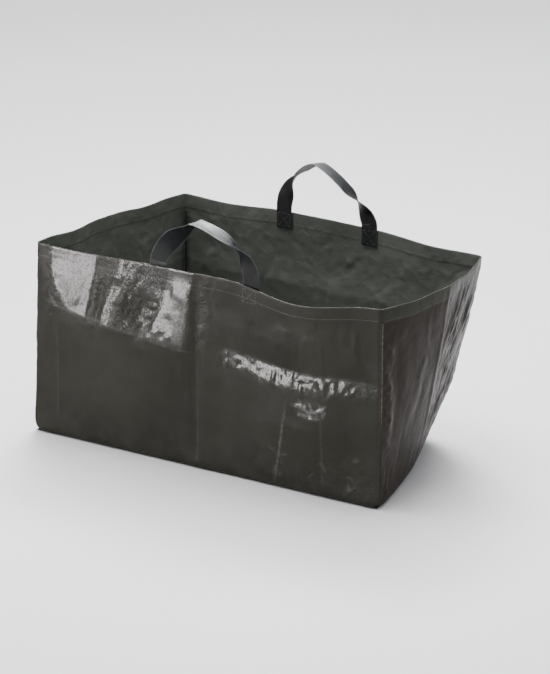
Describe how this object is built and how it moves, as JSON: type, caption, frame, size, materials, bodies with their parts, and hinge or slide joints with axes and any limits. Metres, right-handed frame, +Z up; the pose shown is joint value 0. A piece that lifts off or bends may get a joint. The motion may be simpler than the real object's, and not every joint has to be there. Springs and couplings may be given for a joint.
{
  "type": "garden waste bag",
  "caption": "Open rectangular garden waste bag of coated woven sheet, with gusseted ends, a folded rim hem and webbing strap handles that swing; its walls collapse down.",
  "frame": {"origin": "on the floor, at the bottom centre of the bag's box", "axes": "+X along the bag's length towards its drawn-in right end, -Y to the front wall, +Z up"},
  "size_m": [0.8301, 0.5089, 0.4955],
  "materials": {
    "sheet": "dark olive charcoal woven polyethylene with a glossy coating, creased",
    "hem_sheet": "the same sheet folded over and stitched",
    "seam_tape": "dark woven binding on the seam allowances",
    "webbing": "dark woven polypropylene webbing with a slight shine"
  },
  "bodies": {
    "base": {"base_panel": "sheet", "front_wall": "sheet", "right_wall": "sheet", "back_wall": "sheet", "left_wall": "sheet", "base_seam_front": "seam_tape", "base_seam_right": "seam_tape", "base_seam_back": "seam_tape", "base_seam_left": "seam_tape", "corner_seam_front_right": "seam_tape", "corner_seam_back_right": "seam_tape", "corner_seam_back_left": "seam_tape", "corner_seam_front_left": "seam_tape"},
    "rim": {"hem_front": "hem_sheet", "hem_right": "hem_sheet", "hem_back": "hem_sheet", "hem_left": "hem_sheet", "strap_tab_front_a": "webbing", "strap_tab_front_b": "webbing", "strap_tab_back_a": "webbing", "strap_tab_back_b": "webbing"},
    "handle_front": {"handle_front": "webbing"},
    "handle_back": {"handle_back": "webbing"}
  },
  "joints": [
    {"name": "rim_collapse", "type": "slide", "parent": "base", "child": "rim", "axis": [0, 0, -1], "range_m": [0, 0.26], "deforming": ["front_wall", "right_wall", "back_wall", "left_wall", "corner_seam_front_right", "corner_seam_back_right", "corner_seam_back_left", "corner_seam_front_left"]},
    {"name": "front_handle_swing", "type": "hinge", "parent": "rim", "child": "handle_front", "pos_m": [0.00696, -0.22762, 0.38517], "axis": [0.9996, -0.001, -0.0296], "range_deg": [-130, 130]},
    {"name": "back_handle_swing", "type": "hinge", "parent": "rim", "child": "handle_back", "pos_m": [-0.04807, 0.23379, 0.38853], "axis": [-0.9978, 0.0668, -0.0001], "range_deg": [-130, 130]}
  ]
}
